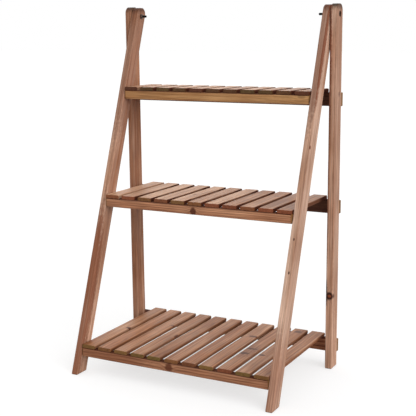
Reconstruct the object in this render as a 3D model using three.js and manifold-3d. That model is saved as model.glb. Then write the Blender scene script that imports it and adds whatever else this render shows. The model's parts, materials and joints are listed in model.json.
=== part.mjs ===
import * as THREE from "three";
import { mergeVertices } from "three/addons/utils/BufferGeometryUtils.js";
import Module from "manifold-3d";

// A folding three-tier plant stand of stained softwood.
// Two upright rear legs and two slanted front legs cross at a bolt near the top, like a step ladder.
// Three slatted shelves swing on steel pins between the front legs. Each shelf's deep rear rail
// hooks behind the rear legs, which holds the stand open and the shelf level.
//
// Millimetres. X runs to the right, Y to the back and Z up.
// The origin is on the floor, in the middle of the open stand's footprint.

const wasm = await Module();
wasm.setup();

// ---------- driving dimensions ----------

// Frame
const standHeight = 917; // floor to the top of the rear legs
const standWidth = 600; // over the outer faces of the rear legs
const legThickness = 18.5; // leg section, across the stand
const legDepth = 38; // leg section, front to back
const legTopRadius = 15; // both corners of each leg's top end
const legOpenAngle = 19.9; // degrees between a front leg and a rear leg with the stand open
const legSideGap = 1.6; // between a front leg and the rear leg beside it
const legEdgeEase = 1.4; // rounding of the sawn edges of a leg
const boltBelowTop = 24.5; // bolt axis under the top of the rear legs
const frontLegAboveBolt = 22.5; // front leg's top, cut level with the stand open, over the bolt axis

// Shelves
const bottomShelfHeight = 75.5; // floor to the top of the slats, with the stand open
const middleShelfHeight = 441.5;
const topShelfHeight = 712;
const bottomShelfLead = 4; // slat tips in front of the front legs' faces, at the top of the slats
const middleShelfLead = 10.5;
const topShelfLead = 6.5;
const slatCount = 11;
const slatWidth = 38;
const slatThickness = 9;
const slatEdgeRadius = 2.4; // long edges of a slat
const slatEndEase = 1; // sawn ends of a slat
const shelfEndGap = 1.4; // between a shelf's side and the front leg beside it
const railThickness = 18.5; // front and rear rails, front to back
const frontRailHeight = 22.5;
const rearRailHeight = 33.5;
const rearRailInset = 3; // rear rail's end inside the outer face of the rear leg
const railEdgeRadius = 1.4;

// Bolts with a socket head, sunk in the rear legs, and a hexagon nut inside the front legs
const boltDiameter = 6;
const boltLength = 50; // under the head
const boltTipChamfer = 0.7;
const boltHeadDiameter = 11.6;
const boltHeadHeight = 3.6;
const boltHeadDome = 1.1; // height of the rounded rim of the head
const boltSocketWidth = 4; // across flats
const boltSocketDepth = 2.2;
const counterboreDiameter = 13.6;
const counterboreDepth = 4.5;
const nutWidth = 10; // across flats
const nutHeight = 3.2; // a thin nut
const nutWasherDiameter = 14;
const nutWasherThickness = 1;
const spacerDiameter = 22;
const spacerThickness = 1; // thin washer between a front leg and a rear leg

// Pins that each shelf swings on
const pinDiameter = 6;
const pinLength = 30;
const pinInLeg = 12; // depth of a pin in the front leg
const pinChamfer = 0.6;
const pinFromShelfFront = 12; // pin axis behind the front face of its shelf

// Clearances
const seatGap = 0.3; // between faces that touch on the real stand
const boltPlay = 0.4; // round the bolt, in the legs and washers
const pinPlay = 0.3; // round a pin, in its holes

// Facets
const roundFacets = 24; // round a bolt, a washer or a drilled hole
const edgeSteps = 1; // curve divisions of a board's edge, each of two facets
const topSteps = 4; // curve divisions of a leg's top corner, each of two facets

// ---------- places that follow from the dimensions ----------

const shelves = [
  { name: "bottom_shelf", topHeight: bottomShelfHeight, frontLead: bottomShelfLead },
  { name: "middle_shelf", topHeight: middleShelfHeight, frontLead: middleShelfLead },
  { name: "top_shelf", topHeight: topShelfHeight, frontLead: topShelfLead },
];

const X = new THREE.Vector3(1, 0, 0);
const Y = new THREE.Vector3(0, 1, 0);
const Z = new THREE.Vector3(0, 0, 1);
const openAngle = THREE.MathUtils.degToRad(legOpenAngle);
const boltHeight = standHeight - boltBelowTop;
const footReach = boltHeight * Math.tan(openAngle) + legDepth / 2 / Math.cos(openAngle);
const rearReach = legDepth / 2 + seatGap + railThickness;
const boltY = (footReach - rearReach) / 2;
const rearFaceY = boltY + rearReach; // rear face of the rear rails and of the slats' ends
const rearLegX = standWidth / 2 - legThickness / 2;
const frontLegX = rearLegX - legThickness - legSideGap;
const frontLegInnerX = frontLegX - legThickness / 2;
const shelfWidth = 2 * (frontLegInnerX - shelfEndGap);
const slatPitch = (shelfWidth - slatWidth) / (slatCount - 1);
const boltHoleRadius = boltDiameter / 2 + boltPlay;
const pinHoleRadius = pinDiameter / 2 + pinPlay;
const boltHeadX = standWidth / 2 - counterboreDepth + seatGap; // under the bolt's head

// Y of the front legs' front faces at a height above the floor.
function frontFaceY(height) {
  return boltY - (boltHeight - height) * Math.tan(openAngle) - legDepth / 2 / Math.cos(openAngle);
}

// Y of a shelf's front face, which its slats and its front rail share.
function shelfFrontY(shelf) {
  return frontFaceY(shelf.topHeight) - shelf.frontLead;
}

// Place of a shelf's pins, halfway up its front rail.
function pinPlace(shelf) {
  const height = shelf.topHeight - slatThickness - seatGap - frontRailHeight / 2;
  return new THREE.Vector3(0, shelfFrontY(shelf) + pinFromShelfFront, height);
}

// The same place in the front legs' own frame, which has its origin on the bolt axis.
function pinPlaceInLeg(shelf) {
  const fromBolt = pinPlace(shelf).sub(new THREE.Vector3(0, boltY, boltHeight));
  return fromBolt.applyAxisAngle(X, openAngle);
}

// ---------- solids ----------

const alongX = new THREE.Matrix4().makeBasis(Y, Z, X); // outline in Y and Z, length along X
const alongY = new THREE.Matrix4().makeBasis(X, Z, Y.clone().negate()); // outline in X and Z

function toSolid(geometry) {
  const bare = geometry.clone();
  bare.deleteAttribute("normal");
  bare.deleteAttribute("uv");
  const merged = mergeVertices(bare, 1e-3);
  return new wasm.Manifold(
    new wasm.Mesh({
      numProp: 3,
      vertProperties: merged.attributes.position.array,
      triVerts: new Uint32Array(merged.index.array),
    }),
  );
}

function toGeometry(solid) {
  const mesh = solid.getMesh();
  const geometry = new THREE.BufferGeometry();
  geometry.setAttribute("position", new THREE.BufferAttribute(mesh.vertProperties, 3));
  geometry.setIndex(new THREE.BufferAttribute(mesh.triVerts, 1));
  geometry.computeVertexNormals();
  return geometry;
}

// The first geometry with all the others cut out of it.
function cut(geometry, tools) {
  let solid = toSolid(geometry);
  for (const tool of tools) solid = solid.subtract(toSolid(tool));
  return toGeometry(solid);
}

function roundedRectangle(width, height, radius) {
  const shape = new THREE.Shape();
  const x = width / 2 - radius;
  const y = height / 2 - radius;
  shape.absarc(x, y, radius, 0, Math.PI / 2);
  shape.absarc(-x, y, radius, Math.PI / 2, Math.PI);
  shape.absarc(-x, -y, radius, Math.PI, 1.5 * Math.PI);
  shape.absarc(x, -y, radius, 1.5 * Math.PI, 2 * Math.PI);
  return shape;
}

// An outline run along an axis and centred on it, with the edges of both ends eased.
function extruded(shape, length, ease, basis, curveSegments, bevelSegments) {
  const geometry = new THREE.ExtrudeGeometry(shape, {
    depth: length - 2 * ease,
    bevelThickness: ease,
    bevelSize: ease,
    bevelOffset: -ease,
    bevelSegments,
    curveSegments,
  });
  geometry.translate(0, 0, ease - length / 2);
  return geometry.applyMatrix4(basis);
}

// A solid turned round the X axis. Each point is [distance along X, radius].
function turned(points, facets = roundFacets) {
  const profile = points.map(([along, radius]) => new THREE.Vector2(radius, along));
  const geometry = new THREE.LatheGeometry(profile, facets);
  return geometry.rotateZ(-Math.PI / 2);
}

// A round cutter along X, from one place to the other.
function drill(radius, fromX, toX, y, z) {
  const points = [
    [fromX, 0],
    [fromX, radius],
    [toX, radius],
    [toX, 0],
  ];
  return turned(points).translate(0, y, z);
}

function washerGeometry(diameter, thickness) {
  const hole = boltHoleRadius;
  const points = [
    [-thickness / 2, hole],
    [-thickness / 2, diameter / 2],
    [thickness / 2, diameter / 2],
    [thickness / 2, hole],
    [-thickness / 2, hole],
  ];
  return turned(points);
}

// Side outline of a leg in Y and Z, with the bolt axis at the origin. The leg leans back by
// the given angle, and both its ends are cut level. aboveBolt and belowBolt are upright.
function legOutline(lean, aboveBolt, belowBolt) {
  const shape = new THREE.Shape();
  const half = legDepth / 2;
  const radius = legTopRadius;
  const levelZ = (y, height) => (y * Math.sin(lean) + height) / Math.cos(lean);
  const corner = half - radius;
  const square = Math.PI / 2 + lean;
  shape.moveTo(-half, levelZ(-half, -belowBolt));
  shape.lineTo(half, levelZ(half, -belowBolt));
  shape.absarc(corner, levelZ(corner, aboveBolt - radius), radius, 0, square);
  shape.absarc(-corner, levelZ(-corner, aboveBolt - radius), radius, square, Math.PI);
  return shape;
}

function legGeometry(outline) {
  return extruded(outline, legThickness, legEdgeEase, alongX, topSteps, 2);
}

// ---------- the pieces ----------

// side is 1 for the right-hand piece and -1 for the left-hand one.

function rearLegGeometry(side) {
  const outline = legOutline(0, boltBelowTop, boltHeight);
  const outer = (side * legThickness) / 2;
  const hole = drill(boltHoleRadius, -legThickness, legThickness, 0, 0);
  const span = [outer - side * counterboreDepth, outer + side * legThickness].sort((a, b) => a - b);
  const counterbore = drill(counterboreDiameter / 2, ...span, 0, 0);
  return cut(legGeometry(outline), [hole, counterbore]);
}

function frontLegGeometry(side) {
  const outline = legOutline(openAngle, frontLegAboveBolt, boltHeight);
  const boltHole = drill(boltHoleRadius, -legThickness, legThickness, 0, 0);
  const inner = (-side * legThickness) / 2;
  const holeDepth = pinInLeg + seatGap;
  const span = [inner + side * holeDepth, inner - side * legThickness].sort((a, b) => a - b);
  const pinHoles = shelves.map((shelf) => {
    const place = pinPlaceInLeg(shelf);
    return drill(pinHoleRadius, ...span, place.y, place.z);
  });
  return cut(legGeometry(outline), [boltHole, ...pinHoles]);
}

function boltGeometry(side) {
  const radius = boltDiameter / 2;
  const head = boltHeadDiameter / 2;
  const rim = boltHeadHeight - boltHeadDome;
  const domeSteps = 4;
  const dome = [];
  for (let i = 0; i <= domeSteps; i += 1) {
    const angle = (i / domeSteps) * (Math.PI / 2);
    const along = rim + boltHeadDome * Math.sin(angle);
    dome.push([along, head - boltHeadDome * (1 - Math.cos(angle))]);
  }
  const body = turned([
    [-boltLength, 0],
    [-boltLength, radius - boltTipChamfer],
    [-boltLength + boltTipChamfer, radius],
    [0, radius],
    [0, head],
    ...dome,
    [boltHeadHeight, 0],
  ]);
  const socketDepth = boltSocketDepth;
  const socket = turned(
    [
      [boltHeadHeight - socketDepth, 0],
      [boltHeadHeight - socketDepth, boltSocketWidth / Math.sqrt(3)],
      [boltHeadHeight + socketDepth, boltSocketWidth / Math.sqrt(3)],
      [boltHeadHeight + socketDepth, 0],
    ],
    6,
  );
  const geometry = cut(body, [socket]);
  return side > 0 ? geometry : geometry.rotateZ(Math.PI);
}

function nutGeometry() {
  const corner = nutWidth / Math.sqrt(3);
  const chamfer = corner - nutWidth / 2;
  const half = nutHeight / 2;
  const hexagon = turned(
    [
      [-half, 0],
      [-half, corner],
      [half, corner],
      [half, 0],
    ],
    6,
  );
  // Both faces of the nut are turned down at the corners.
  const envelope = turned([
    [-half, 0],
    [-half, nutWidth / 2],
    [-half + chamfer * 0.6, corner],
    [half - chamfer * 0.6, corner],
    [half, nutWidth / 2],
    [half, 0],
  ]);
  const trimmed = toSolid(hexagon).intersect(toSolid(envelope));
  const bore = drill(boltHoleRadius, -nutHeight, nutHeight, 0, 0);
  return toGeometry(trimmed.subtract(toSolid(bore)));
}

function pinGeometry() {
  const radius = pinDiameter / 2;
  const half = pinLength / 2;
  return turned([
    [-half, 0],
    [-half, radius - pinChamfer],
    [-half + pinChamfer, radius],
    [half - pinChamfer, radius],
    [half, radius - pinChamfer],
    [half, 0],
  ]);
}

function slatGeometry(length) {
  const section = roundedRectangle(slatWidth, slatThickness, slatEdgeRadius);
  return extruded(section, length, slatEndEase, alongY, edgeSteps, 1);
}

function railGeometry(length, height) {
  const section = roundedRectangle(railThickness, height, railEdgeRadius);
  return extruded(section, length, slatEndEase, alongX, edgeSteps, 1);
}

// A front rail with a blind hole in each end for a pin. pinY is measured from its middle.
function frontRailGeometry(pinY) {
  const half = shelfWidth / 2;
  const depth = pinLength - pinInLeg - shelfEndGap + seatGap;
  const holes = [
    drill(pinHoleRadius, half - depth, half + depth, pinY, 0),
    drill(pinHoleRadius, -half - depth, -half + depth, pinY, 0),
  ];
  return cut(railGeometry(shelfWidth, frontRailHeight), holes);
}

// ---------- finishes ----------

const stainedLeg = { color: 0x9a6a50, roughness: 0.72, metalness: 0 };
const stainedSlat = { color: 0xb08c78, roughness: 0.78, metalness: 0 };
const stainedRail = { color: 0x9c6a4a, roughness: 0.74, metalness: 0 };
const blackedSteel = { color: 0x2c2a29, roughness: 0.45, metalness: 0.9 };
const zincSteel = { color: 0x8f8f8c, roughness: 0.4, metalness: 0.9 };

function piece(name, geometry, finish, x, y, z) {
  const mesh = new THREE.Mesh(geometry, new THREE.MeshStandardMaterial(finish));
  mesh.name = name;
  mesh.position.set(x, y, z);
  return mesh;
}

// ---------- the stand ----------

const sides = [
  { name: "left", sign: -1 },
  { name: "right", sign: 1 },
];

// Rear legs with the bolts, nuts and washers that stay on them.
function makeRearFrame() {
  const frame = new THREE.Group();
  frame.position.set(0, boltY, boltHeight);
  const spacerX = rearLegX - (legThickness + legSideGap) / 2;
  const washerX = frontLegInnerX - seatGap - nutWasherThickness / 2;
  const nutX = washerX - nutWasherThickness / 2 - seatGap - nutHeight / 2;
  for (const { name, sign } of sides) {
    frame.add(
      piece(`rear_leg_${name}`, rearLegGeometry(sign), stainedLeg, sign * rearLegX, 0, 0),
      piece(`pivot_bolt_${name}`, boltGeometry(sign), blackedSteel, sign * boltHeadX, 0, 0),
      piece(
        `spacer_washer_${name}`,
        washerGeometry(spacerDiameter, spacerThickness),
        zincSteel,
        sign * spacerX,
        0,
        0,
      ),
      piece(
        `nut_washer_${name}`,
        washerGeometry(nutWasherDiameter, nutWasherThickness),
        blackedSteel,
        sign * washerX,
        0,
        0,
      ),
      piece(`pivot_nut_${name}`, nutGeometry(), blackedSteel, sign * nutX, 0, 0),
    );
  }
  return frame;
}

// A shelf in its own frame: the origin is on its pin axis, in the middle of the stand.
function makeShelf(shelf) {
  const group = new THREE.Group();
  const pin = pinPlace(shelf);
  const frontY = shelfFrontY(shelf);
  const slatLength = rearFaceY - frontY;
  const slatZ = shelf.topHeight - slatThickness / 2 - pin.z;
  const slatY = (frontY + rearFaceY) / 2 - pin.y;
  const frontRailY = frontY + railThickness / 2 - pin.y;
  const rearRailY = rearFaceY - railThickness / 2 - pin.y;
  const rearRailZ = slatZ - slatThickness / 2 - seatGap - rearRailHeight / 2;
  const rearRailLength = standWidth - 2 * rearRailInset;
  for (let i = 0; i < slatCount; i += 1) {
    const number = String(i + 1).padStart(2, "0");
    const x = -shelfWidth / 2 + slatWidth / 2 + i * slatPitch;
    group.add(piece(`${shelf.name}_slat_${number}`, slatGeometry(slatLength), stainedSlat, x, slatY, slatZ));
  }
  group.add(
    piece(`${shelf.name}_front_rail`, frontRailGeometry(-frontRailY), stainedRail, 0, frontRailY, 0),
    piece(
      `${shelf.name}_rear_rail`,
      railGeometry(rearRailLength, rearRailHeight),
      stainedRail,
      0,
      rearRailY,
      rearRailZ,
    ),
  );
  const pinX = frontLegInnerX + pinInLeg - pinLength / 2;
  for (const { name, sign } of sides) {
    group.add(piece(`${shelf.name}_pin_${name}`, pinGeometry(), zincSteel, sign * pinX, 0, 0));
  }
  return group;
}

// Front legs, turned about the bolt axis, with the shelves that swing on them.
function makeFrontFrame() {
  const frame = new THREE.Group();
  frame.position.set(0, boltY, boltHeight);
  frame.rotation.x = -openAngle;
  for (const { name, sign } of sides) {
    frame.add(piece(`front_leg_${name}`, frontLegGeometry(sign), stainedLeg, sign * frontLegX, 0, 0));
  }
  for (const shelf of shelves) {
    const group = makeShelf(shelf);
    group.position.copy(pinPlaceInLeg(shelf));
    group.rotation.x = openAngle; // level with the stand open
    frame.add(group);
  }
  return frame;
}

const plantStand = new THREE.Group();
plantStand.add(makeRearFrame(), makeFrontFrame());

export default plantStand;
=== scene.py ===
"""Visual model of a folding three-tier plant stand of stained softwood.

Every board is remade with soft, worn edges round the place of its CAD node, and carries
the frame of the log that it was sawn from, so that the growth rings on its faces, edges
and ends belong together. Sizes are in millimetres up to the moment a mesh is written.
"""

import json
import logging
import math
import random
from dataclasses import dataclass, field, replace
from enum import Enum
from typing import Callable, Iterable, Sequence

import bpy
from mathutils import Matrix, Vector

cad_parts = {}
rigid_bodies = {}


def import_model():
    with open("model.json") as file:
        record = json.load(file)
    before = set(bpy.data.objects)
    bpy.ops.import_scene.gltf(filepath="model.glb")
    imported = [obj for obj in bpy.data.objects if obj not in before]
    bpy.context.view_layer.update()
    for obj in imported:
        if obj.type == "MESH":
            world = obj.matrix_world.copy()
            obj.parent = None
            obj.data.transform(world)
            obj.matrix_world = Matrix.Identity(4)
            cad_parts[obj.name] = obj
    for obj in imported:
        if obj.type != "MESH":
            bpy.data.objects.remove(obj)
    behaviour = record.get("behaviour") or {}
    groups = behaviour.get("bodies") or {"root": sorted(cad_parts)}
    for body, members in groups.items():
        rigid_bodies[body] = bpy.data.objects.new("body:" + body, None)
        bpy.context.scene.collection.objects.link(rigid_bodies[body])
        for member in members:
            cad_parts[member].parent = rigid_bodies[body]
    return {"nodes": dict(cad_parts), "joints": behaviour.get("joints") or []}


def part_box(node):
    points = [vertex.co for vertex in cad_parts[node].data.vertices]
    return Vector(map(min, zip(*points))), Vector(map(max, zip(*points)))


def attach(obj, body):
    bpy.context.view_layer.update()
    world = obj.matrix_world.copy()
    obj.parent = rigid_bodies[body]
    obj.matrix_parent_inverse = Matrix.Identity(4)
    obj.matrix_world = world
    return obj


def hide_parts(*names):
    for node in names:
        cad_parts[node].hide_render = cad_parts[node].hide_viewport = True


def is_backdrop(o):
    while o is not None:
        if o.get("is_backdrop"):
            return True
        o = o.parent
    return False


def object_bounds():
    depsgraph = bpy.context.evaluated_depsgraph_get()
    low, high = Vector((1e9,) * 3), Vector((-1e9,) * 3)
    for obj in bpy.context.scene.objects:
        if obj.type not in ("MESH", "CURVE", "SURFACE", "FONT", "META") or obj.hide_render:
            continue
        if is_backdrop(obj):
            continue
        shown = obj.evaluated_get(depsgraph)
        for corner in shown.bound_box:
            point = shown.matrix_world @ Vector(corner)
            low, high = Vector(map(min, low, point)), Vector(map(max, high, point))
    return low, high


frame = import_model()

CAD_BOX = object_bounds()
MM = 0.001
SEED = 20

log = logging.getLogger("plant_stand")

MARKS = 8  # as many marks as a board may have

Ring = list[Vector]
Socket = bpy.types.NodeSocket


# ---------------------------------------------------------------- finishes


def linear(colour: str) -> tuple[float, float, float, float]:
    """Turns an sRGB hex colour to linear light.

    Args:
        colour: Six hex digits after a hash.

    Returns:
        Red, green, blue and an alpha of one.
    """
    parts = (int(colour[i : i + 2], 16) / 255 for i in (1, 3, 5))
    red, green, blue = (
        p / 12.92 if p <= 0.04045 else ((p + 0.055) / 1.055) ** 2.4 for p in parts
    )
    return red, green, blue, 1.0


def add(
    tree: bpy.types.NodeTree,
    kind: str,
    inputs: dict[int | str, object] | None = None,
    **settings: object,
) -> bpy.types.Node:
    """Adds one node with its settings, its values and its links.

    Args:
        tree: The tree that the node goes into.
        kind: Blender's name for the kind of node.
        inputs: Values or sockets for the node's inputs, by name or number.
        settings: The node's own settings.

    Returns:
        The new node.
    """
    node = tree.nodes.new(kind)
    for name, value in settings.items():
        setattr(node, name, value)
    for key, value in (inputs or {}).items():
        if isinstance(value, bpy.types.NodeSocket):
            tree.links.new(value, node.inputs[key])
        else:
            node.inputs[key].default_value = value
    return node


def sum_of(tree: bpy.types.NodeTree, operation: str, *values: object) -> Socket:
    """Works out one number.

    Args:
        tree: The tree that the node goes into.
        operation: Blender's name for the operation.
        values: Numbers or sockets, in order.

    Returns:
        The result.
    """
    return add(tree, "ShaderNodeMath", dict(enumerate(values)), operation=operation).outputs[0]


class Cut(Enum):
    """Which way the saw went through the wood."""

    FACE = "planed face"
    END = "sawn end"


@dataclass(frozen=True)
class StainedSoftwood:
    """Fir or pine, planed and dipped in a reddish brown stain that leaves it matt.

    The stain is dark in the latewood of each ring and pale in the soft earlywood, pale and
    pink in sapwood, and dark where end grain, knots and closed joints drink it, and where
    shade is painted into the narrow gaps between boards.
    """

    name: str
    heart_earlywood: str
    heart_latewood: str
    sap_earlywood: str
    sap_latewood: str
    knot: str = "#34140A"
    knot_heart: str = "#96502F"
    end_red: str = "#86492F"
    end_olive: str = "#7E6832"
    # dark stain that pools in closed joints, and the painted shade of the narrow gaps between
    # boards
    stain_and_gap_shade: str = "#4A2212"
    # pale wear on the long edges, which also stands in for a painted highlight on their rounding
    pale_edge_and_highlight: str = "#D2AC93"
    edge_pale_and_highlight: float = 0.2
    ring_width: float = 4.6  # a quickly grown softwood has rings of 3 to 6 mm
    ring_contrast: float = 0.6
    fibre_width: float = 2.0  # real fibres are far finer: this is as fine as the render shows
    fibre_length: float = 60.0
    streak_width: float = 7.0  # bands of fibres that took the stain alike
    blotch_size: float = 70.0  # how far the stain's depth stays alike
    roughness: float = 0.58
    gloss: float = 0.22  # open pores and a stain with no film shine less than a varnish
    relief: float = 0.12  # height of the hard latewood over the soft earlywood

    def material(self, cut: Cut) -> bpy.types.Material:
        """Makes the wood's material.

        Args:
            cut: Planed face or sawn end.

        Returns:
            The material.
        """
        made = bpy.data.materials.new(f"{self.name}, {cut.value}")
        made.use_nodes = True
        tree = made.node_tree
        tree.nodes.clear()
        tone = add(tree, "ShaderNodeSeparateXYZ", {0: self._board(tree, "tone")}).outputs
        marks = self._marks(tree)
        ring = self._rings(tree, marks.bulge)
        fibre = self._fibres(tree, cut)
        streak = self._noise(tree, (1 / 320, 1 / self.streak_width, 1 / self.streak_width), 2.0)
        blotch = self._noise(tree, (0.5 / self.blotch_size,) + (1 / self.blotch_size,) * 2, 2.0)
        sap = sum_of(tree, "ADD", tone["Y"], self._spread(tree, blotch, 0.5))
        sap = sum_of(tree, "ADD", sap, self._spread(tree, streak, 0.7))
        early = self._mix(tree, sap, self.heart_earlywood, self.sap_earlywood)
        late = self._mix(tree, sap, self.heart_latewood, self.sap_latewood)
        contrast = self.ring_contrast if cut is Cut.FACE else 1.0
        colour = self._mix(tree, sum_of(tree, "MULTIPLY", ring, contrast), early, late)
        shade = sum_of(tree, "ADD", 1.0, self._spread(tree, fibre, 0.75))
        shade = sum_of(tree, "ADD", shade, self._spread(tree, streak, 0.3))
        shade = sum_of(tree, "ADD", shade, self._spread(tree, blotch, 0.2))
        light = sum_of(tree, "MULTIPLY", tone["X"], shade)
        colour = self._scaled(tree, colour, light)
        # pale worn edges, partly a painted highlight
        wear = sum_of(tree, "MULTIPLY", self._near_edge(tree), self.edge_pale_and_highlight)
        colour = self._mix(tree, wear, colour, self.pale_edge_and_highlight)
        # deep stain at closed joints, with painted shade in the gaps between slats and on the
        # rails' tops under them
        depth = self._depth(tree)
        colour = self._mix(tree, depth, colour, self.stain_and_gap_shade)
        end = self._mix(tree, tone["Z"], self.end_red, self.end_olive)
        end_reach, end_light = self._near_end(tree)
        end = self._scaled(tree, end, sum_of(tree, "MULTIPLY", end_light, shade))
        end_share = end_reach if cut is Cut.FACE else 0.95
        colour = self._mix(tree, end_share, colour, end)
        mark_colour = self._mix(tree, marks.red, self.knot, self.knot_heart)
        colour = self._mix(tree, marks.share, colour, mark_colour)
        hard = sum_of(tree, "MULTIPLY", ring, 0.6)
        height = sum_of(tree, "ADD", hard, sum_of(tree, "MULTIPLY", fibre, 0.7))
        bump = add(
            tree,
            "ShaderNodeBump",
            {"Height": height, "Strength": 0.6, "Distance": self.relief * MM},
        )
        rough = sum_of(tree, "ADD", self.roughness, self._spread(tree, fibre, 0.18))
        rough = sum_of(tree, "ADD", rough, sum_of(tree, "MULTIPLY", depth, 0.35))
        shader = add(
            tree,
            "ShaderNodeBsdfPrincipled",
            {
                "Base Color": colour,
                "Roughness": rough,
                "IOR": 1.45,
                "Specular IOR Level": self.gloss,
                "Normal": bump.outputs[0],
            },
        )
        add(tree, "ShaderNodeOutputMaterial", {0: shader.outputs[0]})
        return made

    def _board(self, tree: bpy.types.NodeTree, name: str) -> Socket:
        """Reads one of the vectors that each board carries."""
        return add(tree, "ShaderNodeAttribute", attribute_name=name).outputs["Vector"]

    def _noise(
        self,
        tree: bpy.types.NodeTree,
        per_mm: tuple[float, float, float],
        detail: float,
        source: str = "log_mm",
    ) -> Socket:
        """Makes soft noise in the log's own frame.

        Args:
            tree: The tree that the nodes go into.
            per_mm: Turns of the noise in each millimetre along, across and through.
            detail: Finer layers of noise.
            source: The vector to read.

        Returns:
            Values round one half.
        """
        scaled = self._vector(tree, "MULTIPLY", self._board(tree, source), per_mm)
        return add(
            tree,
            "ShaderNodeTexNoise",
            {"Vector": scaled.outputs[0], "Scale": 1.0, "Detail": detail},
        ).outputs[0]

    def _vector(self, tree: bpy.types.NodeTree, operation: str, *values: object) -> bpy.types.Node:
        """Adds a node that works on whole vectors."""
        return add(
            tree, "ShaderNodeVectorMath", dict(enumerate(values)), operation=operation
        )

    def _spread(self, tree: bpy.types.NodeTree, noise: Socket, amount: float) -> Socket:
        """Turns noise round one half to noise round nought, that many times as strong."""
        return sum_of(tree, "MULTIPLY", sum_of(tree, "SUBTRACT", noise, 0.5), 2 * amount)

    def _mix(
        self, tree: bpy.types.NodeTree, share: object, first: object, second: object
    ) -> Socket:
        """Mixes two colours, given as sockets or as hex values."""
        first, second = (linear(c) if isinstance(c, str) else c for c in (first, second))
        node = add(
            tree,
            "ShaderNodeMix",
            {0: share, 6: first, 7: second},
            data_type="RGBA",
            clamp_factor=True,
        )
        return node.outputs[2]

    def _scaled(self, tree: bpy.types.NodeTree, colour: Socket, light: Socket) -> Socket:
        """Makes a colour lighter or darker without changing its hue."""
        node = add(
            tree, "ShaderNodeVectorMath", {0: colour, "Scale": light}, operation="SCALE"
        )
        return node.outputs[0]

    def _falling(
        self, tree: bpy.types.NodeTree, value: Socket, full: float, none: float
    ) -> Socket:
        """Falls smoothly from one, at the first value, to nought, at the second."""
        return add(
            tree,
            "ShaderNodeMapRange",
            {"Value": value, "From Min": full, "From Max": none, "To Min": 1.0, "To Max": 0.0},
            interpolation_type="SMOOTHSTEP",
        ).outputs[0]

    def _rings(self, tree: bpy.types.NodeTree, bulge: Socket) -> Socket:
        """Draws the growth rings.

        Args:
            tree: The tree that the nodes go into.
            bulge: How far knots push the rings aside, in mm.

        Returns:
            Nought in earlywood, rising to one in the latewood that ends each ring.
        """
        across = self._vector(tree, "MULTIPLY", self._board(tree, "log_mm"), (0, 1, 1))
        radius = self._vector(tree, "LENGTH", across.outputs[0]).outputs["Value"]
        wander = self._spread(tree, self._noise(tree, (1 / 260, 1 / 45, 1 / 45), 2.0), 5.0)
        radius = sum_of(tree, "ADD", sum_of(tree, "ADD", radius, wander), bulge)
        uneven = add(
            tree,
            "ShaderNodeTexNoise",
            {"W": sum_of(tree, "DIVIDE", radius, 3 * self.ring_width), "Scale": 1.0},
            noise_dimensions="1D",
        )
        uneven = self._spread(tree, uneven.outputs[0], 1.2 * self.ring_width)
        radius = sum_of(tree, "ADD", radius, uneven)
        phase = sum_of(tree, "FRACT", sum_of(tree, "DIVIDE", radius, self.ring_width))
        ramp = add(tree, "ShaderNodeValToRGB", {0: phase})
        stops = ramp.color_ramp.elements
        stops[0].position, stops[0].color = 0.0, (0.05, 0.05, 0.05, 1)
        stops[1].position, stops[1].color = 1.0, (0.05, 0.05, 0.05, 1)
        for position, value in ((0.35, 0.12), (0.72, 0.55), (0.9, 1.0)):
            stop = stops.new(position)
            stop.color = (value, value, value, 1)
        return ramp.outputs[0]

    def _fibres(self, tree: bpy.types.NodeTree, cut: Cut) -> Socket:
        """Draws the fibres: long streaks on a face, fine pores on an end."""
        fine = 1 / self.fibre_width
        along = 1 / self.fibre_length if cut is Cut.FACE else fine
        return self._noise(tree, (along, fine, fine), 3.0)

    def _marks(self, tree: bpy.types.NodeTree) -> "MarkSockets":
        """Draws the board's knots, patches of darker stain and patches of painted shade.

        Args:
            tree: The tree that the nodes go into.

        Returns:
            Where the marks are, how red, and how far they push the rings.
        """
        place = self._board(tree, "board_mm")
        noise = self._noise(tree, (1 / 8, 1 / 5, 1 / 5), 2.0, "board_mm")
        ragged = self._spread(tree, noise, 0.45)
        share: object = 0.0
        red: object = 0.0
        bulge: object = 0.0
        for i in range(MARKS):
            away = self._vector(tree, "SUBTRACT", place, self._board(tree, f"mark_{i}"))
            size = self._board(tree, f"mark_size_{i}")
            look = self._board(tree, f"mark_look_{i}")
            look = add(tree, "ShaderNodeSeparateXYZ", {0: look}).outputs
            away = self._vector(tree, "DIVIDE", away.outputs[0], size)
            distance = self._vector(tree, "LENGTH", away.outputs[0]).outputs["Value"]
            edge = sum_of(tree, "ADD", distance, ragged)
            within = self._falling(tree, edge, 0.8, 1.45)
            dark = sum_of(tree, "MULTIPLY", within, look["Y"])
            share = sum_of(tree, "MAXIMUM", share, dark)
            red = sum_of(tree, "MAXIMUM", red, sum_of(tree, "MULTIPLY", within, look["X"]))
            push = sum_of(
                tree, "MULTIPLY", self._falling(tree, distance, 0.6, 3.0), look["Z"]
            )
            bulge = sum_of(tree, "ADD", bulge, push)
        return MarkSockets(share, red, bulge)

    def _near_edge(self, tree: bpy.types.NodeTree) -> Socket:
        """Finds the long edges, which wear pale and carry a painted highlight.

        Args:
            tree: The tree that the nodes go into.

        Returns:
            One on a long edge, falling to nought some 3 mm from it.
        """
        depth = add(tree, "ShaderNodeSeparateXYZ", {0: self._inside(tree)}).outputs
        ragged = self._spread(
            tree, self._noise(tree, (1 / 14, 1 / 2, 1 / 2), 2.0, "board_mm"), 0.9
        )
        from_edge = sum_of(tree, "MAXIMUM", depth["Y"], depth["Z"])
        return self._falling(tree, sum_of(tree, "ADD", from_edge, ragged), 0.3, 2.8)

    def _inside(self, tree: bpy.types.NodeTree) -> Socket:
        """Gives the depth of a place inside each pair of the board's faces, in mm."""
        size = self._vector(tree, "ABSOLUTE", self._board(tree, "board_mm"))
        half = self._board(tree, "half_mm")
        return self._vector(tree, "SUBTRACT", half, size.outputs[0]).outputs[0]

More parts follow.
